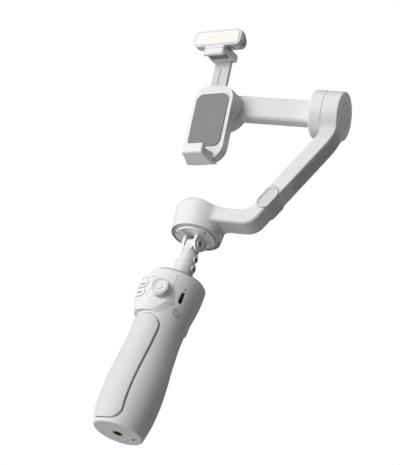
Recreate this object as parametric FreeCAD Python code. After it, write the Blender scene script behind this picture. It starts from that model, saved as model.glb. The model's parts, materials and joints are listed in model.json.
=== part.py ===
import FreeCAD, Part
import math
import os
from FreeCAD import Placement, Rotation, Vector

# Phone gimbal stabilizer: a round handle, a telescopic rod, a folding head with
# three motors on an S-shaped arm, a spring phone clamp and a clip-on fill light.
# Millimetres and degrees. Origin: mouth of the tripod thread in the handle's base.
# +Z runs up the handle, -Y is the side with the controls, +X is the arm's side.

# ------------------------------------------------------------------ clearances
slide_gap = 0.3          # between pieces that move past each other
running_gap = 0.05       # a pin or shaft in its bearing, per side
seat_gap = 0.1           # between fixed pieces that drop into a pocket

# ---------------------------------------------------------------------- handle
handle_height = 124.0
handle_wall = 2.4
base_radius = 18.6
belly_radius = 21.4
belly_height = 36.0
waist_radius = 19.0
waist_height = 88.0
head_radius = 21.6
head_height = 110.0
rim_radius = 21.5
rim_round = 0.8
edge_round = 1.6
base_cap_radius = 15.0
base_cap_thickness = 3.0
thread_radius = 2.6      # wall of a 1/4 inch tripod thread
thread_length = 9.0
insert_radius = 3.9
insert_collar = 5.4
lanyard_radius = 12.4
lanyard_turn = 49.0
lanyard_length = 5.4
lanyard_width = 1.8
base_shelf = 1.4         # ledge that the base cap rests on
insert_floor = 1.0
pad_top = 87.3
pad_bottom = 3.0
pad_half_width = 13.0
pad_proud = 0.9
pad_depth = 1.3
pad_corner = 9.0
pad_gap = 0.7            # shadow gap around the pad
top_plate_radius = 18.4
top_plate_thickness = 3.0
plate_flange_radius = 20.3
plate_stand = 1.3        # how far the cover stands above the rim
plate_round = 0.7
fin_width = 2.4
fin_height = 112.0
battery_half_width = 7.5
battery_half_length = 20.0
battery_thickness = 4.4
battery_middle = 44.0
board_half_width = 9.0
board_low = 68.0
board_gap = 3.3          # between the board and the joystick's cup
chassis_turns = (0.0, 180.0)

# -------------------------------------------------------------- telescopic rod
guide_radius = 9.4
guide_bottom = 14.0
tube_wall = 1.0
rod_radius_1 = 7.9
rod_radius_2 = 6.6
rod_radius_3 = 5.3
rod_top_1 = 141.0
rod_top_2 = 149.2
rod_top_3 = 151.0
rod_step = 1.5           # each tube starts this far above the one around it
rod_screw_turn = 14.0
rod_screw_radius = 1.5
rod_screw_drop = 4.2
rod_boss_radius = 2.7

# ---------------------------------------------------------- head and fold hinge
pin_height = 157.5
fold_pin_radius = 1.6
pin_ring_outer = 3.6
pin_ring_inner = 2.4
pin_ring_stand = 0.6
tongue_half_width = 4.0
tongue_radius = 4.5
ear_thickness = 2.5
ear_radius = 6.0
head_turn = 10.0
head_cant = 5.1
pan_rise = 6.5           # pin to the pan motor's bottom rim
pan_base_radius = 17.5
pan_base_thickness = 4.2
pan_recess_radius = 16.9
pan_recess_depth = 2.2
pan_step_radius = 15.4
pan_step_stand = 1.6     # how far the inner disc stands below the rim
pan_step_round = 0.8
fold_slot_front = 13.5
fold_slot_depth = 1.6
pan_screw_radius = 1.7
pan_screw_reach = 13.6
pan_screw_turns = (-30.0, 218.0)
trim_ring_wall = 0.6

# ---------------------------------------------------------------- motors (all)
shaft_radius = 2.4
bearing_wall = 1.3
boss_wall = 1.5
magnet_wall = 1.6
motor_gap = 0.45
stator_low = 1.2
stator_high = 7.2
bearing_height = 2.4
cup_depth = 8.6
motor_cup_radius = 16.2
shaft_grip = 0.7
split_gap = 0.35
pole_count = 9
pole_width = 4.0

# ------------------------------------------------------------------- lower arm
arm_turn = 12.0
arm_shift = -6.0
arm_half_depth = 9.0
arm_half_thickness = 5.6
drum_radius_low = 19.0
drum_radius_high = 20.8
drum_top = 23.6
slope_start = -2.0       # where the drum's top begins to fall to the neck
slope_end = 20.0
slope_bend = 30.0
arm_top_round = 4.0
neck_blend = 9.0
neck_top = 19.9
neck_bottom = 7.2
arm_rise = 62.4
knuckle_reach = 49.6
knuckle_height = 27.3
knuckle_span = 8.4
knuckle_lip = 1.6        # how far the arm's ends stop short of the knuckle's centres
knuckle_cap_thickness = 1.2
knuckle_reveal = 0.35    # dark line around the knuckle's front end
lug_half_width = 4.2
knuckle_proud = 0.35
cap_margin = 1.5
cap_recess = 0.5
arm_edge = 2.2
arm_pin_radius = 2.0

# ------------------------------------------------------- upper arm, tilt motor
tilt_reach = 76.2
tilt_clear = 3.74        # from the arm's inner elbow to the tilt motor
tilt_radius = 18.6
tilt_end_thickness = 13.2
tilt_plate_radius = 16.1
tilt_plate_thickness = 2.4
tilt_hollow = 9.0
tilt_round = 2.2
tilt_housing_thickness = 10.6
elbow_radius = 42.0
inner_elbow_radius = 9.0
upper_half_depth = 8.6
upper_edge = 1.2
lug_web = 9.0
inlay_gap = 0.4
inlay_half_width = 4.9
inlay_end_radius = 9.6
inlay_thickness = 1.1
inlay_start = 13.0
neck_height = 20.0
neck_depth = 11.0
neck_corner = 3.0
neck_length = 76.0

# ---------------------------------------------------------- roll motor, clamp
clamp_x = -2.3
clamp_y = -36.8
clamp_rise = 98.1
clamp_pitch = 8.6
phone_width = 78.0       # jaw opening that the clamp is drawn at
phone_thickness = 8.0
roll_radius = 15.0
roll_cup_radius = 13.0
roll_height = 6.0
roll_housing_thickness = 9.4
roll_plate_thickness = 11.0
body_half_width = 17.0
body_top = 17.5
body_bottom = -45.0
body_thickness = 8.6
body_corner = 12.0
back_pad_thickness = 1.0
back_pad_half_height = 22.0
back_pad_middle = -12.0
jaw_half_width = 8.7
jaw_root_half_width = 10.5
jaw_overhang = 4.6       # how far the jaws reach in front of the phone
jaw_plate = 3.4
jaw_lip = 3.6
upper_lip_drop = 1.8
jaw_groove = 0.45
jaw_groove_drop = 2.8
jaw_underside = 8.5      # depth of the lower jaw's wedge
lower_lip_rise = 1.6
pad_sheet = 1.0
slider_half_width = 6.6
slider_thickness = 3.0
slider_length = 52.0

# ------------------------------------------------------------------ fill light
light_length = 41.0
light_height = 13.4
light_depth = 12.6
light_taper = 2.0
light_corner = 4.0
light_wall = 1.6
light_front = 0.6
nub_spacing = 20.0
nub_radius = 2.2
nub_pocket_radius = 2.9
diffuser_thickness = 1.2
led_depth = 3.0
nub_pocket_depth = 1.6
dock_y = 4.0             # where the light's contacts sit, behind the phone's front face

# -------------------------------------------------------------------- controls
stick_turn = 22.0
stick_drop = 17.3        # below the rim
stick_radius = 6.9
stick_groove = 1.1
stick_cap_height = 2.8
stick_stand = 2.6
stick_pivot_depth = 6.0
stick_neck_radius = 1.9
stick_hole_radius = 5.0
stick_pin_radius = 0.6
cross_radius = 3.4
cross_pin_radius = 0.8
cup_radius = 6.4
dish_radius = 12.0
dish_depth = 1.0
button_turn = -14.0
button_offset = -5.7
mode_drop = 13.2         # below the rim
button_pitch = 7.1
button_length = 12.4
button_width = 5.0
button_proud = 0.8
key_sink = 0.5           # how far a key's cap reaches into its pocket
key_stem_length = 5.0
key_flange = 0.7
key_plate = 1.2
mode_bar_length = 6.5
record_bar_length = 4.9
bar_width = 1.2
bar_depth = 0.4
swell_turn = -20.0        # the swelling of the shell that carries the controls
swell_shift = 5.6
swell_radius = 20.0
swell_foot_radius = 16.4
swell_foot = 89.5
swell_bend = 99.0
swell_drop = 3.0          # below the rim
swell_round = 1.2
swell_soft = 5.0
swell_seam = 13.0
plinth_face = 22.6       # from the handle's axis
plinth_step = 0.35       # above the flat of the boss
plinth_left = -16.0
plinth_right = 5.4
plinth_low = 98.6
plinth_high = 118.6
plinth_corner = 4.5
stick_face = 21.2        # flat seat of the joystick, from the handle's axis
key_reach = 10.0
power_turn = 67.0
power_pitch = 11.8       # below the port
power_radius = 2.7
port_turn = 66.0
port_drop = 18.3         # below the rim
port_length = 9.2
port_width = 3.4
port_depth = 6.4
port_sink = 0.9
port_light_pitch = 6.6   # above the port
marks_start = -9.9       # on the plinth
mark_pitch = 4.3
mark_drop = 8.0          # below the rim
mark_radius = 0.65
mark_count = 4
trigger_drop = 27.0      # below the rim
trigger_width = 11.0
trigger_length = 15.0
trigger_proud = 2.6
trigger_corner = 3.7
press_travel = 0.8
trigger_travel = 1.8

X = Vector(1, 0, 0)
Y = Vector(0, 1, 0)
Z = Vector(0, 0, 1)
far = 400.0              # larger than the whole object, for cutting by half-spaces


# ---------------------------------------------------------------------- frames
def at(x, y, z):
    return Placement(Vector(x, y, z), Rotation())


def turn(axis, degrees):
    return Placement(Vector(), Rotation(axis, degrees))


def along(distance, side):
    """Point of the slanted arm: distance up from the knuckle's lower centre, side outwards."""
    angle = math.radians(arm_rise)
    s = knuckle_reach + distance * math.cos(angle) + side * math.sin(angle)
    z = knuckle_height + distance * math.sin(angle) - side * math.cos(angle)
    return s, z


def meet_level(side, level):
    """Where the slanted line at that side reaches a height."""
    s, z = along(0, side)
    return s + (level - z) / math.tan(math.radians(arm_rise)), level


def meet_reach(side, reach):
    """Where the slanted line at that side reaches a distance along the arm."""
    s, z = along(0, side)
    return reach, z + (reach - s) * math.tan(math.radians(arm_rise))


stick_height = handle_height - stick_drop
mode_button_height = handle_height - mode_drop
record_button_height = mode_button_height - button_pitch
port_height = handle_height - port_drop
power_height = port_height - power_pitch
port_light_height = port_height + port_light_pitch
mark_height = handle_height - mark_drop
trigger_height = handle_height - trigger_drop
board_high = stick_height - cup_radius - board_gap
tilt_height = meet_reach(-arm_half_thickness, tilt_reach)[1] + tilt_radius + tilt_clear

head_frame = at(0, 0, pin_height) * turn(Z, head_turn) * turn(Y, -head_cant)
fork_frame = at(0, 0, pin_height)
pan_frame = head_frame * at(0, 0, pan_rise)
arm_frame = pan_frame * turn(Z, arm_turn)
tilt_frame = arm_frame * at(tilt_reach, arm_shift, tilt_height) * turn(Y, -90)
clamp_frame = pan_frame * at(clamp_x, clamp_y, clamp_rise) * turn(X, clamp_pitch)
body_back = phone_thickness + back_pad_thickness + body_thickness
roll_split = body_back + roll_housing_thickness
roll_frame = clamp_frame * at(0, roll_split, roll_height) * turn(X, 90)


# --------------------------------------------------------------- shape helpers
def rounded_face(points):
    """Face inside a closed outline of (x, y, corner radius) points."""
    arcs = {}
    count = len(points)
    starts, ends = [], []
    for i, (x, y, radius) in enumerate(points):
        corner = Vector(x, y, 0)
        before = (Vector(*points[i - 1][:2], 0) - corner).normalize()
        after = (Vector(*points[(i + 1) % count][:2], 0) - corner).normalize()
        half = before.getAngle(after) / 2
        if radius <= 0 or half > math.pi / 2 - 1e-6:
            starts.append(corner)
            ends.append(corner)
            continue
        reach = radius / math.tan(half)
        first = corner + before * reach
        last = corner + after * reach
        middle = (before + after).normalize()
        top = corner + middle * (radius / math.sin(half) - radius)
        arcs[i] = Part.Arc(first, top, last).toShape()
        starts.append(first)
        ends.append(last)
    chain = []
    for i in range(count):
        if i in arcs:
            chain.append(arcs[i])
        first, last = ends[i], starts[(i + 1) % count]
        if first.distanceToPoint(last) > 1e-6:
            chain.append(Part.makeLine(first, last))
    return Part.Face(Part.Wire(chain))


def prism(points, low, high):
    face = rounded_face(points)
    face.translate(Vector(0, 0, low))
    return face.extrude(Vector(0, 0, high - low))


def rectangle(half_x, half_y, radius):
    return [(-half_x, -half_y, radius), (half_x, -half_y, radius),
            (half_x, half_y, radius), (-half_x, half_y, radius)]


def block(x0, x1, y0, y1, z0, z1):
    return Part.makeBox(x1 - x0, y1 - y0, z1 - z0, Vector(x0, y0, z0))


def disc(radius, low, high):
    return Part.makeCylinder(radius, high - low, Vector(0, 0, low))


def ring(outer, inner, low, high):
    return disc(outer, low, high).cut(disc(inner, low, high))


def placed(shape, frame):
    moved = shape.copy()
    moved.Placement = frame * moved.Placement
    return moved


def joined(*shapes):
    result = shapes[0].fuse(list(shapes[1:]))
    return result.removeSplitter()


def softened(shape, radius, wanted):
    """Fillet of the edges for which wanted(edge) is true."""
    edges = [edge for edge in shape.Edges if wanted(edge)]
    return shape.makeFillet(radius, edges) if edges else shape


def flat_at(height, tolerance=0.01):
    """Test for edges that lie at one height."""
    def test(edge):
        box = edge.BoundBox
        return abs(box.ZMin - height) < tolerance and abs(box.ZMax - height) < tolerance
    return test


def group(shapes):
    return Part.makeCompound(shapes)


def across(outline, near, away):
    """Prism of an outline in the arm's s-z plane, filling depths near..away."""
    return placed(prism(outline, -away, -near), turn(X, 90))


# ---------------------------------------------------------------------- handle
def side_curve(inset):
    """Profile of the handle's side, from the base to the rim."""
    points = ((base_radius, 0.0), (belly_radius, belly_height), (waist_radius, waist_height),
              (head_radius, head_height), (rim_radius, handle_height))
    curve = Part.BSplineCurve()
    curve.interpolate([Vector(radius - inset, 0, height) for radius, height in points])
    return curve


skin_curve = side_curve(0)


def grip_radius(height):
    """Radius of the handle's skin at a height."""
    level = Part.LineSegment(Vector(0, 0, height), Vector(far, 0, height))
    point = skin_curve.intersectCC(level)[0]
    return point.X


def grip_frame(azimuth, height):
    """Frame on the handle's skin: z outwards, y up the handle."""
    return turn(Z, azimuth) * at(0, -grip_radius(height), height) * turn(X, 90)


def grip_solid(inset):
    """The handle's round body, shrunk by an inset."""
    side = side_curve(inset).toShape()
    low, high = side.Vertexes[0].Point, side.Vertexes[-1].Point
    base, top = Vector(0, 0, low.z), Vector(0, 0, high.z)
    lines = [Part.makeLine(high, top), Part.makeLine(top, base), Part.makeLine(base, low)]
    return Part.Face(Part.Wire([side] + lines)).revolve(Vector(), Z, 360)


def button_outline(margin):
    return rectangle(button_length / 2 + margin, button_width / 2 + margin, button_width / 2 - 0.1 + margin)


def port_outline(margin):
    return rectangle(port_width / 2 + margin, port_length / 2 + margin, port_width / 2 - 0.1 + margin)


def trigger_outline(margin):
    return rectangle(trigger_width / 2 + margin, trigger_length / 2 + margin, trigger_corner + margin)


def light_frames():
    frames = [front_frame(marks_start + i * mark_pitch, mark_height) for i in range(mark_count)]
    return frames + [grip_frame(port_turn, port_light_height)]


def control_cuts():
    """Openings in the shells for the controls, the port and the lights."""
    reach = handle_wall * 3
    cuts = [placed(disc(stick_hole_radius, -reach, reach), grip_frame(stick_turn, stick_height))]
    for height in (mode_button_height, record_button_height):
        cuts.append(placed(prism(button_outline(slide_gap), -key_pocket, reach), button_frame(height)))
        cuts.append(placed(key_stem(slide_gap, -key_reach, 0), button_frame(height)))
    cuts.append(placed(disc(power_radius + slide_gap, -reach, reach), grip_frame(power_turn, power_height)))
    cuts.append(placed(prism(port_outline(0), -reach, reach), grip_frame(port_turn, port_height)))
    cuts.append(placed(prism(trigger_outline(slide_gap), -reach, reach), grip_frame(180, trigger_height)))
    return cuts + [placed(disc(mark_radius, -reach, reach), frame) for frame in light_frames()]


def beyond(azimuth, face):
    """Everything in front of an upright plane that faces an azimuth."""
    return placed(block(-far, far, -far, -face, -far, far), turn(Z, azimuth))


def is_upright(edge):
    """True for the upright edges of the flats of the boss above its foot."""
    ends = [vertex.Point for vertex in edge.Vertexes]
    if len(ends) != 2 or ends[0].y > -swell_seam:
        return False
    return abs(ends[0].z - ends[1].z) > swell_bend - swell_foot


def control_boss():
    """Swelling of the front shell with a flat for the buttons and one for the joystick."""
    top = handle_height - swell_drop
    foot = Part.makeCone(swell_foot_radius, swell_radius, swell_bend - swell_foot, Vector(0, 0, swell_foot))
    swell = joined(disc(swell_radius, swell_bend, top), foot)
    swell = placed(swell, turn(Z, swell_turn) * at(0, -swell_shift, 0)).cut(beyond(stick_turn, stick_face))
    boss = swell.cut(beyond(button_turn, plinth_face - plinth_step))
    boss = softened(softened(boss, swell_soft, is_upright), swell_round, flat_at(top))
    return boss.fuse(button_plinth(swell))


def button_plinth(swell):
    """Thin raised plinth around the buttons and the status lights."""
    outline = [(plinth_left, plinth_low, plinth_corner), (plinth_right, plinth_low, plinth_corner),
               (plinth_right, plinth_high, plinth_corner), (plinth_left, plinth_high, plinth_corner)]
    return placed(prism(outline, -key_reach, 0), front_frame(0, 0)).common(swell)


def button_front():
    """The boss as far as it lies outside the cavity and in front of the seam."""
    return control_boss().common(block(-far, far, -far, 0, -far, far)).cut(grip_solid(handle_wall / 2))


def handle_shell():
    outer = softened(grip_solid(0), edge_round, flat_at(0))
    outer = softened(outer, rim_round, flat_at(handle_height))
    floor = base_cap_thickness + base_shelf
    inner = grip_solid(handle_wall).common(disc(far, floor, handle_height - top_plate_thickness))
    shell = outer.cut(inner)
    shell = shell.cut(disc(base_cap_radius, -1, base_cap_thickness))
    shell = shell.cut(disc(base_cap_radius - base_shelf, -1, floor + 1))
    return shell.cut(disc(top_plate_radius, handle_height - top_plate_thickness, handle_height + 1))


def pad_column(margin):
    """Straight prism through the front of the handle with the pad's outline."""
    half = pad_half_width + margin
    corner = pad_corner + margin
    outline = [(-half, pad_bottom - margin, corner), (half, pad_bottom - margin, corner),
               (half, pad_top + margin, corner), (-half, pad_top + margin, corner)]
    return placed(prism(outline, 0, far / 4), turn(X, 90))


def front_shell():
    half = handle_shell().common(block(-far, far, -far, 0, -far, far))
    half = half.fuse(button_front())
    pocket = pad_column(pad_gap).cut(grip_solid(pad_depth))
    return half.cut(pocket).cut(control_cuts())


def rear_shell():
    half = handle_shell().common(block(-far, far, 0, far, -far, far))
    return half.cut(control_cuts())


def grip_pad():
    skin = grip_solid(-pad_proud).cut(grip_solid(pad_depth))
    return skin.common(pad_column(0))


def base_cap():
    """Bottom cover with the hub that holds the threaded insert."""
    cap = disc(base_cap_radius - seat_gap, 0, base_cap_thickness - seat_gap)
    cap = cap.fuse(disc(insert_collar + base_shelf, 0, thread_length))
    cap = cap.cut(disc(insert_radius, -1, thread_length + 1))
    slot = prism(rectangle(lanyard_width / 2, lanyard_length / 2, lanyard_width / 2 - 0.05),
                 -1, base_cap_thickness + 1)
    return cap.cut(placed(slot, turn(Z, lanyard_turn) * at(lanyard_radius, 0, 0))).removeSplitter()


def tripod_insert():
    insert = disc(insert_radius, 0, thread_length)
    insert = insert.fuse(disc(insert_collar, thread_length, thread_length + insert_floor))
    return insert.cut(disc(thread_radius, -1, thread_length)).removeSplitter()


def chassis():
    """Spine inside the shells: a tube that guides the rod, held by a foot, a rim and four fins."""
    foot = thread_length + insert_floor
    top = handle_height - top_plate_thickness
    body = disc(guide_radius, foot, top)
    fin = block(guide_radius - 1, far, -fin_width / 2, fin_width / 2, foot, fin_height)
    body = body.fuse([placed(fin, turn(Z, angle)) for angle in chassis_turns])
    body = body.common(grip_solid(handle_wall)).common(disc(far, base_cap_thickness + base_shelf, top))
    return body.cut(disc(rod_radius_1 + slide_gap, guide_bottom, handle_height)).removeSplitter()


def top_plate():
    """Cover around the rod: a plug between the shells under a wider flange."""
    top = handle_height + plate_stand
    plug = disc(top_plate_radius - seat_gap, handle_height - top_plate_thickness, top)
    flange = softened(disc(plate_flange_radius, handle_height, top), plate_round, flat_at(top))
    plate = joined(plug.common(disc(far, 0, handle_height)), flange)
    return plate.cut(disc(rod_radius_1 + slide_gap, 0, far))


def battery_cells():
    cell = prism(rectangle(battery_half_width, battery_half_length, 2.0), 0, battery_thickness)
    front = at(0, -guide_radius - slide_gap, battery_middle) * turn(X, 90)
    rear = turn(Z, 180) * front
    return group([placed(cell, front), placed(cell, rear)])


def main_board():
    face = guide_radius + slide_gap
    board = block(-board_half_width, board_half_width, -face - 1.2, -face, board_low, board_high)
    chip = block(-4.5, 4.5, -face - 2.2, -face - 1.2, board_low + 4, board_low + 13)
    radio = block(-3.5, 3.5, -face - 2.0, -face - 1.2, board_high - 10, board_high - 4)
    return joined(board, chip, radio)


def usb_port():
    shell = prism(port_outline(0), -port_depth, -port_sink)
    shell = shell.cut(prism(port_outline(-0.35), -port_depth + 0.5, 0))
    tongue = prism(rectangle(0.35, port_length / 2 - 1.4, 0.2), -port_depth + 0.5, -port_sink - 1)
    return placed(joined(shell, tongue), grip_frame(port_turn, port_height))


def status_lights():
    lens = disc(mark_radius, -handle_wall, -0.05)
    return group([placed(lens, frame) for frame in light_frames()])


# -------------------------------------------------------------------- controls
def front_frame(offset, height):
    """Frame on the flat face of the plinth: z outwards, y up the handle."""
    return turn(Z, button_turn) * at(offset, -plinth_face, height) * turn(X, 90)


def button_frame(height):
    return front_frame(button_offset, height)


key_pocket = key_sink + press_travel + seat_gap


def key_stem(margin, low, high):
    outline = rectangle(key_stem_length / 2 + margin, button_width / 2 - key_flange + margin, key_flange)
    return prism(outline, low, high)


def key_depth(height):
    """Depth under the plinth at which a key's flange clears the inside of the shell."""
    half = key_stem_length / 2 + abs(button_offset) + key_flange
    inner = grip_radius(height - button_width / 2 - key_flange) - handle_wall
    return plinth_face - math.sqrt(inner ** 2 - half ** 2) + slide_gap


def key_bar(length, low, high):
    return prism(rectangle(length / 2, bar_width / 2, bar_width / 2 - 0.05), low, high)


def push_key(height):
    """Flat button with a flange that stops it behind the shell."""
    depth = key_depth(height)
    cap = softened(prism(button_outline(0), -key_sink, button_proud), 0.6, flat_at(button_proud))
    stem = key_stem(0, -depth, -key_sink)
    flange = key_stem(key_flange, -depth - key_plate, -depth)
    return placed(joined(cap, stem, flange), button_frame(height))


def record_bar():
    """Coloured bar let into the record button."""
    bar = key_bar(record_bar_length, button_proud - bar_depth, button_proud)
    return placed(bar, button_frame(record_button_height))


def mode_button():
    groove = key_bar(mode_bar_length, button_proud - bar_depth / 2, button_proud * 2)
    return push_key(mode_button_height).cut(placed(groove, button_frame(mode_button_height)))


def record_button():
    return push_key(record_button_height).cut(record_bar())


def power_button():
    cap = disc(power_radius, -handle_wall - 1, 0.15)
    low = -handle_wall - press_travel
    flange = disc(power_radius + key_flange, low - key_plate, low)
    return placed(joined(cap, flange), grip_frame(power_turn, power_height))


def trigger():
    cap = prism(trigger_outline(0), -handle_wall - trigger_travel, trigger_proud)
    cap = softened(cap, 1.4, flat_at(trigger_proud))
    low = -handle_wall - trigger_travel
    flange = prism(trigger_outline(0.8), low - 1.2, low)
    return placed(joined(cap, flange), grip_frame(180, trigger_height))


stick_frame = grip_frame(stick_turn, stick_height) * at(0, 0, -stick_pivot_depth)


def joystick_cup():
    """Cup behind the shell that carries the outer axis of the joystick."""
    cup = disc(cup_radius + 0.9, -3.4, stick_pivot_depth).cut(disc(cup_radius, -2.6, stick_pivot_depth + 1))
    pins = placed(disc(cross_pin_radius + running_gap, -far, far), turn(Y, 90))
    return placed(cup.cut(pins), stick_frame).common(grip_solid(handle_wall)).Solids[0]


def joystick_cross():
    """Ring between the two axes of the joystick."""
    pin = disc(cross_pin_radius, cross_radius + 0.4, cup_radius + 0.7)
    pins = [placed(pin, turn(Y, side * 90)) for side in (-1, 1)]
    body = joined(ring(cross_radius + 0.9, cross_radius, -1.1, 1.1), *pins)
    hole = placed(disc(stick_pin_radius + running_gap, -far, far), turn(X, 90))
    return placed(body.cut(hole), stick_frame)


def joystick():
    """Stem, inner pin and dished cap."""
    low = stick_pivot_depth + stick_stand
    high = low + stick_cap_height
    stem = disc(stick_neck_radius, -1.2, low + 1)
    foot = Vector(0, 0, low - stick_stand / 2)
    flare = Part.makeCone(stick_neck_radius, stick_radius / 2, stick_stand * 0.6, foot)
    pin = placed(disc(stick_pin_radius, -cross_radius - 0.7, cross_radius + 0.7), turn(X, 90))
    cap = softened(disc(stick_radius, low, high), 0.7, lambda edge: flat_at(low)(edge) or flat_at(high)(edge))
    cap = cap.cut(Part.makeSphere(dish_radius, Vector(0, 0, high + dish_radius - dish_depth)))
    outer = stick_radius - stick_groove
    cap = cap.cut(ring(outer, outer - stick_groove / 2, high - dish_depth, high + 1))
    crown = Part.makeCone(2.6, 2.2, 0.9, Vector(0, 0, high - dish_depth - 0.1))
    return placed(joined(stem, flare, pin, cap, crown), stick_frame)


# -------------------------------------------------------------- telescopic rod
def screw_frame(radius, top):
    return turn(Z, rod_screw_turn) * at(radius, 0, top - rod_screw_drop) * turn(Y, 90)


def rod_tube(radius, low, high):
    tube = softened(disc(radius, low, high), 0.5, flat_at(high))
    return tube.cut(disc(radius - tube_wall, low - 1, high + 1))


def rod_stage(radius, low, high):
    """Tube with a small screw boss near its top."""
    frame = screw_frame(radius, high)
    boss = placed(disc(rod_boss_radius, -tube_wall, 0.5), frame)
    tube = rod_tube(radius, low, high).fuse(boss)
    tube = tube.cut(disc(radius - tube_wall, low - 1, high + 1))
    return tube.cut(placed(disc(rod_screw_radius, -tube_wall * 0.6, 2), frame)).removeSplitter()


def rod_screw(radius, high):
    screw = disc(rod_screw_radius, -tube_wall * 0.6, 0.3)
    return placed(screw.cut(disc(0.7, -0.2, 1)), screw_frame(radius, high))


def stage_low(number):
    return guide_bottom + number * rod_step


def rod_tube_1():
    return rod_stage(rod_radius_1, stage_low(1), rod_top_1)


def rod_tube_2():
    return rod_stage(rod_radius_2, stage_low(2), rod_top_2)


def rod_tube_3():
    return rod_tube(rod_radius_3, stage_low(3), rod_top_3)


def rod_screw_1():
    return rod_screw(rod_radius_1, rod_top_1)


def rod_screw_2():
    return rod_screw(rod_radius_2, rod_top_2)


def rod_head():
    """Tongue of the fold hinge on a plug that fills the top tube."""
    low = rod_top_3 - pin_height
    plug = disc(rod_radius_3 - tube_wall, low - 9, low)
    tongue = placed(disc(tongue_radius, -tongue_half_width, tongue_half_width), turn(Y, 90))
    web = block(-tongue_half_width, tongue_half_width, -tongue_radius, tongue_radius, low, 0)
    head = joined(plug, tongue, web)
    bore = placed(disc(fold_pin_radius + running_gap, -far, far), turn(Y, 90))
    return placed(head.cut(bore), fork_frame)


# ------------------------------------------------------------------ fold hinge
ear_near = tongue_half_width + slide_gap
ear_away = ear_near + ear_thickness


def ear(side):
    """Round-ended ear with a ring around the pin's head."""
    low, high = sorted((side * ear_near, side * ear_away))
    round_end = placed(disc(ear_radius, low, high), turn(Y, 90))
    web = block(low, high, -ear_radius, ear_radius, 0, pan_rise + 1)
    head = ring(pin_ring_outer, pin_ring_inner, ear_away - 0.5, ear_away + pin_ring_stand)
    return joined(round_end, web, placed(head, turn(Y, side * 90)))


def fold_slot():
    """Slot between the ears, over which the rod's head swings."""
    floor = pan_rise - pan_step_stand + fold_slot_depth
    return placed(block(-ear_near, ear_near, -fold_slot_front, far / 4, 0, floor), fork_frame)


def pan_screw_holes():
    hole = disc(pan_screw_radius, -far, 0).translated(Vector(pan_screw_reach, 0, 0))
    return [placed(hole, pan_frame * turn(Z, angle)) for angle in pan_screw_turns]


def pan_base():
    """Motor base plate with the two ears of the fold hinge under it."""
    plate = softened(disc(pan_base_radius, 0, pan_base_thickness), 0.5, flat_at(0))
    plate = plate.cut(disc(pan_recess_radius, -1, pan_recess_depth))
    step = disc(pan_step_radius, -pan_step_stand, pan_recess_depth + 0.5)
    plate = plate.fuse(softened(step, pan_step_round, flat_at(-pan_step_stand)))
    plate = plate.fuse(placed(motor_boss(), at(0, 0, pan_base_thickness)))
    plate = plate.cut(placed(motor_bore(), at(0, 0, pan_base_thickness)))
    ears = [placed(ear(side), fork_frame) for side in (-1, 1)]
    base = placed(plate, pan_frame).cut([fold_slot()] + pan_screw_holes()).fuse(ears)
    return base.cut(placed(disc(fold_pin_radius, -far, far), fork_frame * turn(Y, 90))).removeSplitter()


def fold_pin():
    half = ear_away
    return placed(disc(fold_pin_radius, -half, half), fork_frame * turn(Y, 90))


# ---------------------------------------------------------------------- motors
# Motor frame: z = 0 is the face of the half that carries the windings, and the
# half that turns sits over it, at z > 0.
bore_radius = shaft_radius + running_gap + bearing_wall
boss_radius = bore_radius + boss_wall
boss_height = stator_high + 0.4


def motor_boss():
    return disc(boss_radius, -1, boss_height)


def motor_bore():
    return disc(bore_radius, 0, boss_height + 1)


def motor_bearings():
    race = ring(bore_radius, shaft_radius + running_gap, 0, bearing_height)
    return group([race, placed(race, at(0, 0, boss_height - bearing_height))])


def motor_stator(cup):
    """Wound core: a hub with a ring of poles."""
    outer = cup - magnet_wall - motor_gap
    pole = block(boss_radius + 1, outer + 1, -pole_width / 2, pole_width / 2, stator_low, stator_high)
    poles = [placed(pole, turn(Z, 360 / pole_count * i)) for i in range(pole_count)]
    star = disc(boss_radius + 1.6, stator_low, stator_high).fuse(poles)
    star = star.common(disc(outer, stator_low, stator_high))
    return star.cut(disc(boss_radius, 0, stator_high + 1)).removeSplitter()


def motor_magnets(cup):
    return ring(cup, cup - magnet_wall, stator_low, stator_high)


def motor_shaft():
    return disc(shaft_radius, 0.3, cup_depth + shaft_grip)


def motor_cup(cup):
    """Hollow of the turning half, with the hole that grips the shaft."""
    return disc(cup, -1, cup_depth).fuse(disc(shaft_radius, -1, cup_depth + shaft_grip))


pan_motor = pan_frame * at(0, 0, pan_base_thickness)
pan_spin = at(0, 0, pan_base_thickness)


# ------------------------------------------------------------------- lower arm
arm_front = arm_shift - arm_half_depth
arm_back = arm_shift + arm_half_depth


def lower_arm_outline():
    left = drum_radius_high + 2
    return [(-left, neck_bottom, 0), (-left, drum_top, 0),
            (slope_start, drum_top, slope_bend), (slope_end, neck_top, slope_bend),
            meet_level(-arm_half_thickness, neck_top) + (13.0,),
            along(-knuckle_lip, -arm_half_thickness) + (0,), along(-knuckle_lip, arm_half_thickness) + (0,),
            meet_level(arm_half_thickness, neck_bottom) + (13.0,)]


def knuckle_outline(margin=0.0):
    radius = arm_half_thickness + margin
    corners = ((-radius, -radius), (-radius, radius), (knuckle_span + radius, radius),
               (knuckle_span + radius, -radius))
    return [along(distance, side) + (radius - 0.02,) for distance, side in corners]


def upright(x_low, x_high):
    """Test for tall edges whose middle lies between two distances along the arm."""
    def test(edge):
        box = edge.BoundBox
        return box.ZLength > drum_top / 2 and x_low < box.Center.x < x_high and box.XLength < 4
    return test


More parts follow.
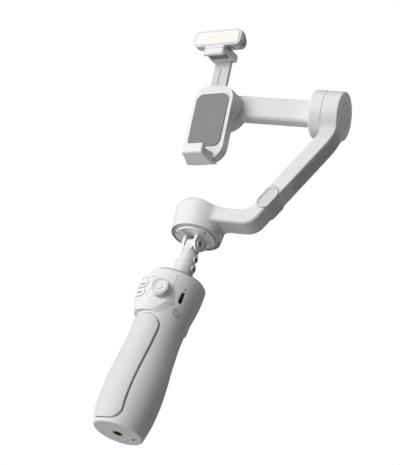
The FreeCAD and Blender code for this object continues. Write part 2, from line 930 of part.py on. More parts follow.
def lower_arm():
    """Drum of the pan motor with the arm that rises from it to the knuckle."""
    drum = Part.makeCone(drum_radius_low, drum_radius_high, drum_top)
    strip = block(0, far, arm_front, arm_back, 0, drum_top * 3)
    joint = upright(drum_radius_low / 4, drum_radius_low + arm_half_thickness)
    post = softened(drum.fuse(strip), neck_blend, joint)
    arm = softened(post.common(across(lower_arm_outline(), -far, far)), arm_edge, lower_rim_edge)
    arm = joined(arm, drum.common(disc(far, 0, neck_bottom + arm_edge + 1)))
    arm = softened(arm, arm_top_round, upper_rim_edge)
    arm = arm.cut(across(knuckle_outline(), -far, far))
    reveal_depth = arm_front + knuckle_cap_thickness - knuckle_proud
    arm = arm.cut(across(knuckle_outline(knuckle_reveal), -far, reveal_depth))
    arm = arm.cut(disc(pan_base_radius + slide_gap + 0.1, -1, pan_base_thickness + 0.8))
    arm = arm.cut(placed(motor_cup(motor_cup_radius), pan_spin))
    arm = arm.cut(pan_trim_ring_shape())
    return placed(arm.removeSplitter(), arm_frame)


def samples(edge):
    first, last = edge.FirstParameter, edge.LastParameter
    return [edge.valueAt(first + (last - first) * share) for share in (0.02, 0.3, 0.5, 0.7, 0.98)]


def on_side_wall(point):
    """Whether a point lies on the drum's wall, the arm's flat sides or the blends between."""
    taper = (drum_radius_high - drum_radius_low) / drum_top
    on_drum = abs(math.hypot(point.x, point.y) - drum_radius_low - taper * point.z) < 0.02
    on_flat = min(abs(point.y - arm_front), abs(point.y - arm_back)) < 0.02
    beside = not arm_front < point.y < arm_back
    on_blend = beside and drum_radius_low / 2 < point.x < drum_radius_low + neck_blend
    return on_drum or on_flat or on_blend


def outer_side(point):
    """How far a point lies outside the slanted arm's middle."""
    angle = math.radians(arm_rise)
    return (point.x - knuckle_reach) * math.sin(angle) - (point.z - knuckle_height) * math.cos(angle)


def upper_rim_edge(edge):
    """Edges between the side walls and the upper faces of the drum and the arm."""
    points = samples(edge)
    high = min(point.z for point in points) > neck_top - 0.3
    return high and edge.BoundBox.ZLength < 9 and all(on_side_wall(point) for point in points)


def lower_rim_edge(edge):
    """Edges between the side walls and the lower faces, out to the knuckle."""
    points = samples(edge)
    level = max(point.z for point in points) < neck_bottom + 0.05
    slanted = min(point.x for point in points) > drum_radius_high + neck_blend
    outside = slanted and min(outer_side(point) for point in points) > 0.5
    return (level or outside) and all(on_side_wall(point) for point in points)


def pan_trim_ring_shape():
    inner = pan_base_radius + slide_gap + 0.1
    return ring(inner + trim_ring_wall, inner, 0, 1.6)


def pan_trim_ring():
    return placed(pan_trim_ring_shape(), arm_frame)


def knuckle():
    """Block between the two halves of the arm, slotted for the upper arm's lug."""
    near = arm_front - knuckle_proud + knuckle_cap_thickness
    body = across(knuckle_outline(), near, arm_back + knuckle_proud)
    slot = across_round(arm_half_thickness + slide_gap, lug_half_width + slide_gap)
    body = body.cut(slot)
    pin = across_round(arm_pin_radius, far / 2)
    return placed(body.cut(pin), arm_frame)


def across_round(radius, half_width):
    """Round bar along the fold axis of the arm, centred on the arm's middle."""
    s, z = along(knuckle_span, 0)
    return placed(disc(radius, -half_width, half_width), at(s, arm_shift, z) * turn(X, 90))


def knuckle_cap():
    near = arm_front - knuckle_proud
    cap = across(knuckle_outline(), near, near + knuckle_cap_thickness)
    cap = softened(cap, 0.5, lambda edge: edge.BoundBox.YMax < near + 0.01)
    recess = across(knuckle_outline(-cap_margin), near - 1, near + cap_recess)
    recess = softened(recess, cap_recess * 0.9, lambda edge: edge.BoundBox.YMin > near + cap_recess - 0.01)
    return placed(cap.cut(recess), arm_frame)


def arm_pin():
    half_width = arm_half_depth + knuckle_proud - knuckle_cap_thickness
    return placed(across_round(arm_pin_radius, half_width), arm_frame)


# ------------------------------------------------------- upper arm, tilt motor
tilt_end = tilt_reach + tilt_end_thickness


def upper_arm_outline(inset=0.0):
    """Side view of the upper arm; inset moves its outer face inwards."""
    side = arm_half_thickness - inset
    low_distance = knuckle_span + knuckle_lip + slide_gap * 2
    top = tilt_height + tilt_radius + 1
    return [along(low_distance, -arm_half_thickness) + (0,), along(low_distance, side) + (0,),
            meet_reach(side, tilt_end - inset) + (elbow_radius,), (tilt_end - inset, top, 0),
            (tilt_reach, top, 0), meet_reach(-arm_half_thickness, tilt_reach) + (inner_elbow_radius,)]


def tilt_silhouette():
    """End view of the upper arm: a disc on a strip, seen along the tilt axis."""
    front, back = arm_shift - upper_half_depth, arm_shift + upper_half_depth
    strip = block(-far, far, front, back, -far, tilt_height)
    wheel = placed(disc(tilt_radius, -far, far), at(0, arm_shift, tilt_height) * turn(Y, 90))
    post = joined(strip, wheel)
    joint = tilt_height - math.sqrt(tilt_radius ** 2 - upper_half_depth ** 2)
    return softened(post, neck_blend,
                    lambda edge: edge.Length > far and abs(edge.BoundBox.Center.z - joint) < 0.1)


def on_outer_end(edge):
    """Long edges around the flat end beyond the tilt motor."""
    return abs(edge.BoundBox.XMin - tilt_end) < 0.01 and edge.Length > tilt_radius


def upper_arm():
    """Slanted arm that ends in the fixed half of the tilt motor."""
    arm = tilt_silhouette().common(across(upper_arm_outline(), -far, far))
    arm = softened(arm, upper_edge, on_outer_end)
    arm = arm.cut(across_round(arm_half_thickness + slide_gap, far / 2))
    lug = across_round(arm_half_thickness - 0.1, lug_half_width)
    web = across([along(knuckle_span, -arm_half_thickness + 0.1) + (0,),
                  along(knuckle_span, arm_half_thickness - 0.1) + (0,),
                  along(knuckle_span + lug_web, arm_half_thickness - 0.1) + (0,),
                  along(knuckle_span + lug_web, -arm_half_thickness + 0.1) + (0,)],
                 arm_shift - lug_half_width, arm_shift + lug_half_width)
    arm = joined(arm, lug, web)
    arm = arm.cut(across_round(arm_pin_radius + running_gap, far / 2))
    arm = placed(arm, arm_frame)
    seat = disc(tilt_plate_radius + seat_gap, -tilt_plate_thickness, 1)
    hollow = disc(tilt_plate_radius - 1.6, -tilt_hollow, 1)
    arm = arm.cut([placed(seat, tilt_frame), placed(hollow, tilt_frame)])
    return arm.cut(placed(inlay_blank(inlay_gap), arm_frame))


def inlay_blank(margin):
    """Strip let into the outer face, from near the knuckle to round the tilt axis."""
    low = along(knuckle_span + inlay_start, 0)[1] - margin
    half = inlay_half_width + margin
    outline = [(low, -half, half - 0.1), (tilt_height, -half, 0), (tilt_height, half, 0),
               (low, half, half - 0.1)]
    strip = prism(outline, 0, far / 2)
    post = strip.fuse(disc(inlay_end_radius + margin, 0, far / 2).translated(Vector(tilt_height, 0, 0)))
    post = placed(post.removeSplitter(), at(far / 4, arm_shift, 0) * turn(Y, -90))
    skin = across(upper_arm_outline(), -far / 4, far / 4)
    skin = skin.cut(across(upper_arm_outline(inlay_thickness), -far / 2, far / 2))
    return post.common(skin)


def arm_inlay():
    inlay = placed(inlay_blank(0), arm_frame)
    return inlay.cut(placed(disc(0.7, -tilt_end_thickness - 1, -tilt_end_thickness + 0.4), tilt_frame))


def tilt_plate():
    plate = disc(tilt_plate_radius, -tilt_plate_thickness, 0)
    return placed(joined(plate, motor_boss()).cut(motor_bore()), tilt_frame)


def tilt_housing():
    """Turning half of the tilt motor."""
    housing = disc(tilt_radius, split_gap, tilt_housing_thickness)
    housing = softened(housing, tilt_round, flat_at(tilt_housing_thickness))
    return placed(housing.cut(motor_cup(motor_cup_radius)), tilt_frame)


def roll_bracket():
    """Neck from the tilt motor to the plate behind the roll motor."""
    neck = prism(rectangle(neck_height / 2, neck_depth / 2, neck_corner), tilt_housing_thickness, neck_length)
    plate = disc(roll_radius, -roll_plate_thickness, 0)
    plate = softened(plate, 1.5, flat_at(-roll_plate_thickness))
    bracket = placed(neck, tilt_frame).fuse(placed(plate, roll_frame))
    room = placed(disc(roll_radius + slide_gap * 3, 0, far), roll_frame)
    bracket = bracket.cut(room).fuse(placed(motor_boss(), roll_frame))
    return bracket.cut(placed(motor_bore(), roll_frame)).removeSplitter()


def roll_housing():
    """Turning half of the roll motor, on the clamp's back."""
    housing = disc(roll_radius, split_gap, roll_housing_thickness)
    housing = softened(housing, 0.8, flat_at(split_gap))
    return placed(housing.cut(motor_cup(roll_cup_radius)), roll_frame)


# ----------------------------------------------------------------------- clamp
jaw_open = phone_width / 2
body_front = phone_thickness + back_pad_thickness
lip_front = -jaw_overhang


def in_clamp(shape):
    return placed(shape, clamp_frame)


def side_prism(outline, half_width):
    """Prism of an outline in the clamp's y-z plane, centred on the clamp."""
    stood_up = Placement(Vector(), Rotation(Vector(1, 1, 1), 120))
    return placed(prism(outline, -half_width, half_width), stood_up)


def jaw_plan(front_half, root_half):
    """Plan view of a jaw: straight lip that widens to the root."""
    outline = [(-front_half, lip_front, 1.6), (front_half, lip_front, 1.6), (front_half, 1.0, 5.0),
               (root_half, body_front - 1, 5.0), (root_half, body_back, 3.0),
               (-root_half, body_back, 3.0), (-root_half, body_front - 1, 5.0), (-front_half, 1.0, 5.0)]
    return prism(outline, -far / 4, far / 4)


def clamp_body():
    """Plate behind the phone, hollow for the sliding tongue of the upper jaw."""
    outline = [(-body_half_width, body_bottom, body_corner), (body_half_width, body_bottom, body_corner),
               (body_half_width, body_top, body_corner), (-body_half_width, body_top, body_corner)]
    body = placed(prism(outline, -body_back, -body_front), turn(X, 90))
    body = softened(body, 1.6, lambda edge: edge.BoundBox.YMin > body_back - 0.01)
    half = slider_half_width + slide_gap
    middle = (body_front + body_back) / 2
    reach = slider_thickness / 2 + slide_gap
    slot = block(-half, half, middle - reach, middle + reach, body_bottom + 4, body_top + 1)
    return in_clamp(body.cut(slot))


def clamp_pads():
    """Rubber sheets: one behind the phone and one on the lower jaw."""
    sheet = prism(rectangle(body_half_width - 3, back_pad_half_height, 6.0), -body_front, -phone_thickness)
    back = placed(sheet, at(0, 0, back_pad_middle) * turn(X, 90))
    lower = prism(rectangle(jaw_half_width - 1.2, 3.4, 1.0), -jaw_open - pad_sheet, -jaw_open)
    return in_clamp(group([back, placed(lower, at(0, phone_thickness / 2 - 0.2, 0))]))


def lower_jaw():
    top = -jaw_open - pad_sheet
    low = top - jaw_underside
    outline = [(lip_front, top + lower_lip_rise + pad_sheet, 1.2), (lip_front - 0.6, low + jaw_plate, 2.4),
               (body_front, low, 0), (body_front, top, 0),
               (lip_front + jaw_lip, top, 0.8), (lip_front + jaw_lip, top + lower_lip_rise + pad_sheet, 1.0)]
    jaw = side_prism(outline, far / 8).common(jaw_plan(jaw_half_width, jaw_root_half_width))
    foot = side_prism([(body_front, low, 0), (body_front + 1, low, 1.0), (body_back, body_bottom, 0),
                       (body_front, body_bottom, 0)], jaw_root_half_width)
    return in_clamp(joined(jaw, foot))


def upper_jaw():
    low = jaw_open + pad_sheet
    high = low + jaw_plate + 2.0
    outline = [(lip_front, low - upper_lip_drop - pad_sheet, 1.2), (lip_front, high, 2.6),
               (body_back - 1, high, 3.0), (body_back - 1, low, 1.0),
               (lip_front + jaw_lip, low, 0.8), (lip_front + jaw_lip, low - upper_lip_drop - pad_sheet, 1.2)]
    jaw = side_prism(outline, far / 8).common(jaw_plan(jaw_half_width, jaw_half_width + 1))
    core = jaw_plan(jaw_half_width - jaw_groove, jaw_half_width + 1 - jaw_groove)
    level = high - jaw_groove_drop
    groove = block(-far, far, -far, body_front, level - jaw_groove, level)
    jaw = jaw.cut(groove.cut(core.translated(Vector(0, jaw_groove, 0))))
    pockets = [disc(nub_pocket_radius, high - nub_pocket_depth, high + 1).translated(Vector(x, dock_y, 0))
               for x in (-nub_spacing / 2, nub_spacing / 2)]
    return in_clamp(jaw.cut(pockets))


def upper_pad():
    pad = prism(rectangle(jaw_half_width - 1.2, 3.4, 1.0), jaw_open, jaw_open + pad_sheet)
    return in_clamp(placed(pad, at(0, phone_thickness / 2 - 0.2, 0)))


def jaw_slider():
    """Flat tongue that carries the upper jaw and slides in the clamp's body."""
    middle = (body_front + body_back) / 2
    top = jaw_open + pad_sheet
    outline = [(-slider_half_width, top - slider_length, 2.0), (slider_half_width, top - slider_length, 2.0),
               (slider_half_width, top, 0), (-slider_half_width, top, 0)]
    half = slider_thickness / 2
    tongue = placed(prism(outline, -middle - half, -middle + half), turn(X, 90))
    groove = block(-1.2, 1.2, middle - slider_thickness, middle - slider_thickness / 2 + 0.6,
                   top - slider_length + 4, top - 6)
    return in_clamp(tongue.cut(groove))


# ------------------------------------------------------------------ fill light
light_bottom = jaw_open + pad_sheet + jaw_plate + 2.0 + slide_gap
light_frame = clamp_frame * at(0, dock_y - light_depth / 2, light_bottom + light_height / 2) * turn(X, 90)


def light_section(shrink, corner, level):
    half = rectangle(light_length / 2 - shrink, light_height / 2 - shrink, corner)
    face = rounded_face(half)
    face.translate(Vector(0, 0, level))
    return face.OuterWire


def light_shell():
    sections = [light_section(light_taper, light_corner, -light_depth),
                light_section(0, light_corner, -light_depth * 0.45), light_section(0, light_corner, 0)]
    return Part.makeLoft(sections, True, True)


def light_housing():
    body = light_shell()
    face = prism(rectangle(light_length / 2 - light_wall, light_height / 2 - light_wall, light_corner - 1),
                 -led_depth - 1, 1)
    body = body.cut(face)
    return placed(body.cut(light_nub_shapes(0)), light_frame)


def light_diffuser():
    outline = rectangle(light_length / 2 - light_wall, light_height / 2 - light_wall, light_corner - 1)
    panel = softened(prism(outline, -diffuser_thickness, light_front), 0.6, flat_at(light_front))
    return placed(panel, light_frame)


def led_board():
    outline = rectangle(light_length / 2 - light_wall - 4, light_height / 2 - light_wall - 1, 1.5)
    board = prism(outline, -led_depth - 1, -led_depth)
    led = block(-1.0, 1.0, -1.0, 1.0, -led_depth, -led_depth + 0.8)
    leds = [led.translated(Vector(x * 4.2, y * 4.0, 0)) for x in range(-3, 4) for y in (-0.5, 0.5)]
    return placed(joined(board, *leds), light_frame)


def light_nub_shapes(margin):
    """Domed contacts in the underside of the light."""
    nub = disc(nub_radius + margin, -0.9, 1.4)
    dome = Part.makeSphere(nub_radius * 1.6, Vector(0, 0, nub_radius * 1.6 - 1.3))
    nub = nub.common(dome.fuse(disc(far / 4, 0, 2)))
    frames = [at(x, -light_height / 2, -light_depth / 2) * turn(X, 90) * turn(X, 180)
              for x in (-nub_spacing / 2, nub_spacing / 2)]
    return [placed(nub, frame) for frame in frames]


def light_contacts():
    return placed(group(light_nub_shapes(0)), light_frame)


# ----------------------------------------------------------------------- parts
def in_motor(maker, frame, *sizes):
    """Maker of a motor piece that is put in its place."""
    return lambda: placed(maker(*sizes), frame)


nodes = {
    "front_shell": front_shell, "rear_shell": rear_shell, "grip_pad": grip_pad, "base_cap": base_cap,
    "tripod_insert": tripod_insert, "chassis": chassis, "top_plate": top_plate,
    "battery_cells": battery_cells, "main_board": main_board, "usb_port": usb_port,
    "status_lights": status_lights, "joystick_cup": joystick_cup,
    "joystick_cross": joystick_cross, "joystick": joystick, "mode_button": mode_button,
    "record_button": record_button, "record_bar": record_bar, "power_button": power_button,
    "trigger": trigger,
    "rod_tube_1": rod_tube_1, "rod_screw_1": rod_screw_1, "rod_tube_2": rod_tube_2,
    "rod_screw_2": rod_screw_2, "rod_tube_3": rod_tube_3, "rod_head": rod_head,
    "pan_base": pan_base, "fold_pin": fold_pin,
    "pan_bearings": in_motor(motor_bearings, pan_motor),
    "pan_stator": in_motor(motor_stator, pan_motor, motor_cup_radius),
    "lower_arm": lower_arm, "pan_trim_ring": pan_trim_ring,
    "pan_magnets": in_motor(motor_magnets, pan_motor, motor_cup_radius),
    "pan_shaft": in_motor(motor_shaft, pan_motor),
    "knuckle": knuckle, "knuckle_cap": knuckle_cap, "arm_pin": arm_pin,
    "upper_arm": upper_arm, "arm_inlay": arm_inlay, "tilt_plate": tilt_plate,
    "tilt_stator": in_motor(motor_stator, tilt_frame, motor_cup_radius),
    "tilt_bearings": in_motor(motor_bearings, tilt_frame),
    "tilt_housing": tilt_housing,
    "tilt_magnets": in_motor(motor_magnets, tilt_frame, motor_cup_radius),
    "tilt_shaft": in_motor(motor_shaft, tilt_frame),
    "roll_bracket": roll_bracket,
    "roll_stator": in_motor(motor_stator, roll_frame, roll_cup_radius),
    "roll_bearings": in_motor(motor_bearings, roll_frame),
    "roll_housing": roll_housing,
    "roll_magnets": in_motor(motor_magnets, roll_frame, roll_cup_radius),
    "roll_shaft": in_motor(motor_shaft, roll_frame),
    "clamp_body": clamp_body, "clamp_pads": clamp_pads, "lower_jaw": lower_jaw,
    "upper_jaw": upper_jaw, "upper_pad": upper_pad, "jaw_slider": jaw_slider,
    "light_housing": light_housing, "light_diffuser": light_diffuser, "led_board": led_board,
    "light_contacts": light_contacts,
}

os.makedirs("parts", exist_ok=True)
for node, build in nodes.items():
    build().exportStep(f"parts/{node}.step")
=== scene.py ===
import json
import math

import bpy
import numpy as np
from bpy.props import FloatProperty, FloatVectorProperty, PointerProperty
from mathutils import Euler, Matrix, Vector


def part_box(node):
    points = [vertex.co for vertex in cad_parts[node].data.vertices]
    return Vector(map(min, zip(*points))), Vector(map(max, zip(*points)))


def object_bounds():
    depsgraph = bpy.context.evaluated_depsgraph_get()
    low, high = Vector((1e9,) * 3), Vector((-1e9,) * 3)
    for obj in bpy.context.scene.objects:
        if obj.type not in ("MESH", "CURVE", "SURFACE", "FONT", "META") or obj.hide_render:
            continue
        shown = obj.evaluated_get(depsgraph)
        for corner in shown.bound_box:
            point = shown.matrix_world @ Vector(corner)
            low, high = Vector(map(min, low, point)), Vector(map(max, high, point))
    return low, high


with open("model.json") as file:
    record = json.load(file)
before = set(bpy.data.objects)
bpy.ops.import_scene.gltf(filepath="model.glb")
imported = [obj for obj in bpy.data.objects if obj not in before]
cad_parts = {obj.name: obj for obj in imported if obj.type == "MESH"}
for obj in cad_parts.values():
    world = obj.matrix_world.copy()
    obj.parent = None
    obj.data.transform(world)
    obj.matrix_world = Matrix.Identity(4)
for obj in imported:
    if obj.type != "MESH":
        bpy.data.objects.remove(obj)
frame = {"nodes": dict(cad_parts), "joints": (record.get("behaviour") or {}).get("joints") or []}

bl_info = {
    "name": "Phone gimbal",
    "version": (1, 0, 0),
    "blender": (4, 5, 0),
    "location": "View3D > Sidebar > Gimbal",
    "description": "Finishes and stage for a handheld phone gimbal",
    "category": "Add Mesh",
}

cad_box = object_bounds()
MM = 0.001
HAIR = 0.06 * MM                        # soft edge of a painted line
CONTACT_RADIUS = 2.2 * MM
CONTACT_SHADE_RING = 0.55 * MM                # width of the painted shade ring round a contact
CONTACT_SIDE = (2.0 * MM, 2.2 * MM)     # above the contacts' middle, where the painted shade rings end
PANEL_SHARES = (0.70, 0.62)             # part of the diffuser's length and height that its panel fills
PANEL_SOFT = 0.25 * MM
INSERT_DEPTH = (1.6 * MM, 1.5 * MM)     # of the ribbed insert, from the end of the light
INSERT_BAND = (4.0 * MM, 10.5 * MM)     # behind the middle of the diffuser
# painted highlight: a lighter line just outside the insert's edge
INSERT_SEAM_HIGHLIGHT = (3.3 * MM, 3.8 * MM)
RIB_PITCH = 0.9 * MM
POWER_RINGS = ((0.95 * MM, 1.3 * MM), (2.3 * MM, 2.55 * MM))
GROOVE_DEPTH = (0.15 * MM, 0.3 * MM)    # of the mode key's groove
GROOVE_HALF = (0.62 * MM, 0.7 * MM)
COLLAR_SEAM = (6.2 * MM, 6.4 * MM)      # beyond the fold pin of the arm
ARM_RISE = math.radians(62.4)           # slope of the upper arm
NOISE_SPAN = (0.3, 0.7)                 # where most of a noise's values lie
TONE_SPAN = (0.35, 0.65)                # narrower, for a stronger mottle
TURNING_STRETCH = 40.0                  # length of a turning mark over its width
FLOOR_HALF = 3.0                        # metres


# ---------------------------------------------------------------------- sizes and colours
def colour(name, description, default):
    return FloatVectorProperty(name=name, description=description, default=default, subtype="COLOR",
                               size=3, min=0, max=1)


def length(name, description, default):
    return FloatProperty(name=name, description=description, default=default, unit="LENGTH",
                         subtype="DISTANCE")


def number(name, description, default):
    return FloatProperty(name=name, description=description, default=default, min=0)


class GimbalFinishes(bpy.types.PropertyGroup):
    """Colours and grain of the gimbal's materials."""

    shell: colour("Shell", "Moulded shells of the handle and the arms", (0.72, 0.72, 0.715))
    grip: colour("Grip", "Soft pad on the front of the handle", (0.62, 0.62, 0.615))
    inlay: colour("Inlay", "Strip in the outer face of the arm", (0.56, 0.56, 0.56))
    knuckle: colour("Knuckle", "Fold joint of the arm", (0.62, 0.62, 0.615))
    white: colour("Gloss white", "Rod, hinge and motor base", (0.80, 0.80, 0.79))
    cover: colour("Cover", "Plate around the rod", (0.20, 0.20, 0.20))
    marks: colour("Marks", "Status marks and the bar of the mode button", (0.22, 0.22, 0.22))
    # Dark is also painted as shade in rings round the fill light's contacts.
    dark: colour("Dark", "Slots, screw heads and rubber", (0.03, 0.03, 0.032))
    copper: colour("Copper", "Trim ring and power button", (0.60, 0.33, 0.22))
    record: colour("Record", "Bar on the record button", (0.62, 0.05, 0.04))
    diffuser: colour("Diffuser", "Milky front of the fill light", (0.82, 0.82, 0.815))
    panel: colour("Panel", "Light panel behind the diffuser", (0.83, 0.79, 0.70))
    rubber: colour("Rubber", "Pads of the clamp and the jaw", (0.20, 0.20, 0.20))
    brass: colour("Brass", "Threaded insert in the base", (0.55, 0.40, 0.17))
    steel: colour("Steel", "Pins, shafts, bearings and the port", (0.45, 0.45, 0.46))
    alloy: colour("Alloy", "Plate of the tilt motor", (0.55, 0.55, 0.57))
    nickel: colour("Nickel", "Magnet rings", (0.40, 0.40, 0.42))
    chrome: colour("Chrome", "Domed contacts of the fill light", (0.80, 0.80, 0.81))
    winding: colour("Winding", "Wound cores of the motors", (0.45, 0.18, 0.06))
    cell: colour("Cell", "Wrap of the battery cells", (0.04, 0.10, 0.28))
    board: colour("Board", "Circuit boards", (0.01, 0.05, 0.025))
    grain: length("Grain", "Size of the grain of the moulded plastic", 0.35 * MM)
    grain_depth: length("Grain depth", "Depth of the grain", 0.012 * MM)


class GimbalStage(bpy.types.PropertyGroup):
    """Camera, lamps and floor."""

    camera_place: FloatVectorProperty(name="Camera place", description="Where the camera stands",
                                      default=(0.99156, -0.88567, -0.45080), subtype="TRANSLATION",
                                      unit="LENGTH")
    camera_turn: FloatVectorProperty(name="Camera turn", description="How the camera is turned",
                                     default=tuple(math.radians(a) for a in (116.668, -19.795, 38.532)),
                                     subtype="EULER", unit="ROTATION")
    camera_lens: number("Lens", "Focal length in millimetres", 153.5)
    key_lamp: number("Key lamp", "Power of the lamp above the camera's left shoulder, in watts", 16.8)
    side_lamp: number("Side lamp", "Power of the lamp at the left, in watts", 8.5)
    top_lamp: number("Top lamp", "Power of the lamp overhead, in watts", 8.5)
    rim_lamp: number("Rim lamp", "Power of the lamp behind the gimbal at the right, in watts", 4.0)
    back_lamp: number("Back lamp", "Power of the lamp straight behind the gimbal, in watts", 5.0)
    lamp_reach: length("Lamp reach", "Distance from the gimbal to each lamp", 1.5)
    lamp_size: length("Lamp size", "Diameter of each lamp", 0.8)
    fill: number("Fill", "Strength of the all-round light", 0.03)
    floor_glow: number("Floor glow", "Share of the floor that shows plain white", 0.8)
    floor_drop: length("Floor drop", "How far the floor lies under the handle's base", 0.62)


# ---------------------------------------------------------------------- shader expressions
class Wire:
    """A shader value that takes part in sums."""

    def __init__(self, graph, socket):
        self.graph = graph
        self.socket = socket

    def _with(self, operation, *others):
        values = dict(enumerate((self, *others)))
        return self.graph.node("ShaderNodeMath", {"operation": operation}, values).out(0)

    def _from(self, operation, other):
        return self.graph.node("ShaderNodeMath", {"operation": operation}, {0: other, 1: self}).out(0)

    def __add__(self, other):
        return self._with("ADD", other)

    __radd__ = __add__

    def __sub__(self, other):
        return self._with("SUBTRACT", other)

    def __rsub__(self, other):
        return self._from("SUBTRACT", other)

    def __mul__(self, other):
        return self._with("MULTIPLY", other)

    __rmul__ = __mul__

    def __truediv__(self, other):
        return self._with("DIVIDE", other)

    def __rtruediv__(self, other):
        return self._from("DIVIDE", other)

    def __mod__(self, other):
        return self._with("FLOORED_MODULO", other)

    def __abs__(self):
        return self._with("ABSOLUTE")


class Made:
    """A node, whose outputs are wires."""

    def __init__(self, graph, node):
        self.graph = graph
        self.node = node

    def out(self, key):
        return Wire(self.graph, self.node.outputs[key])


class Graph:
    """The node tree of one material or world."""

    def __init__(self, tree):
        self.tree = tree
        tree.nodes.clear()

    def node(self, kind, settings=None, sockets=None):
        made = self.tree.nodes.new(kind)
        for key, value in (settings or {}).items():
            setattr(made, key, value)
        for key, value in (sockets or {}).items():
            if isinstance(value, Wire):
                self.tree.links.new(value.socket, made.inputs[key])
            else:
                made.inputs[key].default_value = value
        return Made(self, made)

    def place(self):
        """Coordinates that ride with the piece, in metres."""
        return self.node("ShaderNodeTexCoord").out("Object")

    def noise(self, size, detail=2.0, rough=0.5, vector=None):
        return self.node("ShaderNodeTexNoise", None, {"Vector": vector or self.place(), "Scale": 1 / size,
                                                      "Detail": detail, "Roughness": rough}).out("Fac")

    def vector(self, operation, first, second, output=0):
        node = self.node("ShaderNodeVectorMath", {"operation": operation}, {0: first, 1: second})
        return node.out(output)

    def from_point(self, point):
        """Vector from a point to the surface."""
        return self.vector("SUBTRACT", self.place(), tuple(point))

    def along(self, point, axis):
        """Signed distance from a point, measured along an axis."""
        return self.vector("DOT_PRODUCT", self.from_point(point), tuple(axis), "Value")

    def radius(self, point, axis):
        """Distance from the line through a point."""
        across = self.vector("CROSS_PRODUCT", self.from_point(point), tuple(axis))
        return self.vector("LENGTH", across, (0, 0, 0), "Value")

    def band(self, value, low, high, soft):
        """1 where the value lies between low and high, with soft edges."""
        return self.ramp(value, low - soft, low) * (1 - self.ramp(value, high, high + soft))

    def ramp(self, value, low, high, to_low=0.0, to_high=1.0):
        return self.node("ShaderNodeMapRange", None, {"Value": value, "From Min": low, "From Max": high,
                                                      "To Min": to_low, "To Max": to_high}).out("Result")

    def vary(self, noise, low, high):
        """A value that follows a noise from low to high."""
        return self.ramp(noise, *NOISE_SPAN, low, high)

    def mix(self, share, first, second):
        sockets = {0: share, 6: solid(first), 7: solid(second)}
        return self.node("ShaderNodeMix", {"data_type": "RGBA"}, sockets).out(2)

    def seen(self):
        """1 for what the camera sees, directly or through something clear."""
        path = self.node("ShaderNodeLightPath")
        rays = {0: path.out("Is Camera Ray"), 1: path.out("Is Transmission Ray")}
        return self.node("ShaderNodeMath", {"operation": "MAXIMUM"}, rays).out(0)

    def bump(self, height, depth):
        sockets = {"Height": height, "Distance": depth, "Strength": 1.0}
        return self.node("ShaderNodeBump", None, sockets).out("Normal")

    def surface(self, **sockets):
        names = {key.replace("_", " ").title(): value for key, value in sockets.items()}
        names = {key: solid(value) if key.endswith("Color") else value for key, value in names.items()}
        shader = self.node("ShaderNodeBsdfPrincipled", None, names)
        self.node("ShaderNodeOutputMaterial", None, {"Surface": shader.out("BSDF")})
        return shader


def solid(value):
    """A colour with its alpha, or a wire as it is."""
    return value if isinstance(value, Wire) else (*tuple(value)[:3], 1.0)


def shade(base, factor):
    return tuple(channel * factor for channel in base)


def new_material(name):
    material = bpy.data.materials.new(name)
    material.use_nodes = True
    return material, Graph(material.node_tree)


def finishes():
    return bpy.context.scene.gimbal_finishes


def joint(name):
    """A joint of the part: its record, with the axis as a vector."""
    found = next(item for item in frame["joints"] if item["name"] == name)
    return found, Vector(found["axis"])


def own_axes(name):
    """Middle of a node's surface and its principal directions, the longest first."""
    mesh = frame["nodes"][name].data
    mesh.calc_loop_triangles()
    points = np.array([tuple(vertex.co) for vertex in mesh.vertices])
    faces = points[np.array([tuple(face.vertices) for face in mesh.loop_triangles])]
    areas = np.linalg.norm(np.cross(faces[:, 1] - faces[:, 0], faces[:, 2] - faces[:, 0]), axis=1)
    middle = np.einsum("t,ti->i", areas, faces.mean(axis=1)) / areas.sum()
    faces = faces - middle
    centres = faces.mean(axis=1)
    spread = np.einsum("t,tki,tkj->ij", areas, faces, faces)
    spread += 9 * np.einsum("t,ti,tj->ij", areas, centres, centres)
    directions = np.linalg.eigh(spread)[1]
    axes = [Vector(directions[:, i]) for i in (2, 1, 0)]
    return Vector(middle), [-axis if max(axis, key=abs) < 0 else axis for axis in axes]


def half_length(name, middle, axis):
    """Half of a node's length along an axis."""
    mesh = frame["nodes"][name].data
    return max(abs((vertex.co - middle).dot(axis)) for vertex in mesh.vertices)


def box_middle(name):
    """Middle of a node's box."""
    low, high = (Vector(corner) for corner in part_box(name))
    return (low + high) / 2


# ---------------------------------------------------------------------- materials
def grained(graph, base):
    """Fine spark-eroded grain with a faint mottle: the grain, and the plastic's colour over it."""
    grain = graph.noise(finishes().grain, detail=3.0, rough=0.6)
    mottle = graph.noise(18 * MM)
    tone = graph.ramp(grain * 0.6 + mottle * 0.4, *TONE_SPAN)
    return grain, graph.mix(tone, shade(base, 0.965), shade(base, 1.02))


def moulded_plastic(name, base, roughness=0.5):
    """Plain moulded plastic."""
    material, graph = new_material(name)
    grain, plain = grained(graph, base)
    graph.surface(base_color=plain, roughness=graph.vary(grain, roughness - 0.05, roughness + 0.06),
                  normal=graph.bump(grain, finishes().grain_depth))
    return material


def soft_grip(name, base):
    """Silicone with a matt, slightly deeper texture."""
    looks = finishes()
    material, graph = new_material(name)
    grain = graph.noise(looks.grain * 1.3, detail=4.0, rough=0.7)
    mottle = graph.noise(12 * MM)
    graph.surface(base_color=graph.mix(graph.ramp(grain, *TONE_SPAN), shade(base, 0.94), shade(base, 1.03)),
                  roughness=graph.vary(mottle, 0.58, 0.68),
                  normal=graph.bump(grain, looks.grain_depth * 1.6))
    return material


def gloss_white(name, base):
    """Polished plastic with a clear coat and very faint waviness."""
    material, graph = new_material(name)
    wave = graph.noise(6 * MM)
    graph.surface(base_color=graph.mix(wave, shade(base, 0.98), shade(base, 1.02)),
                  roughness=graph.vary(wave, 0.22, 0.3), coat_weight=0.6, coat_roughness=0.08,
                  normal=graph.bump(wave, 0.004 * MM))
    return material


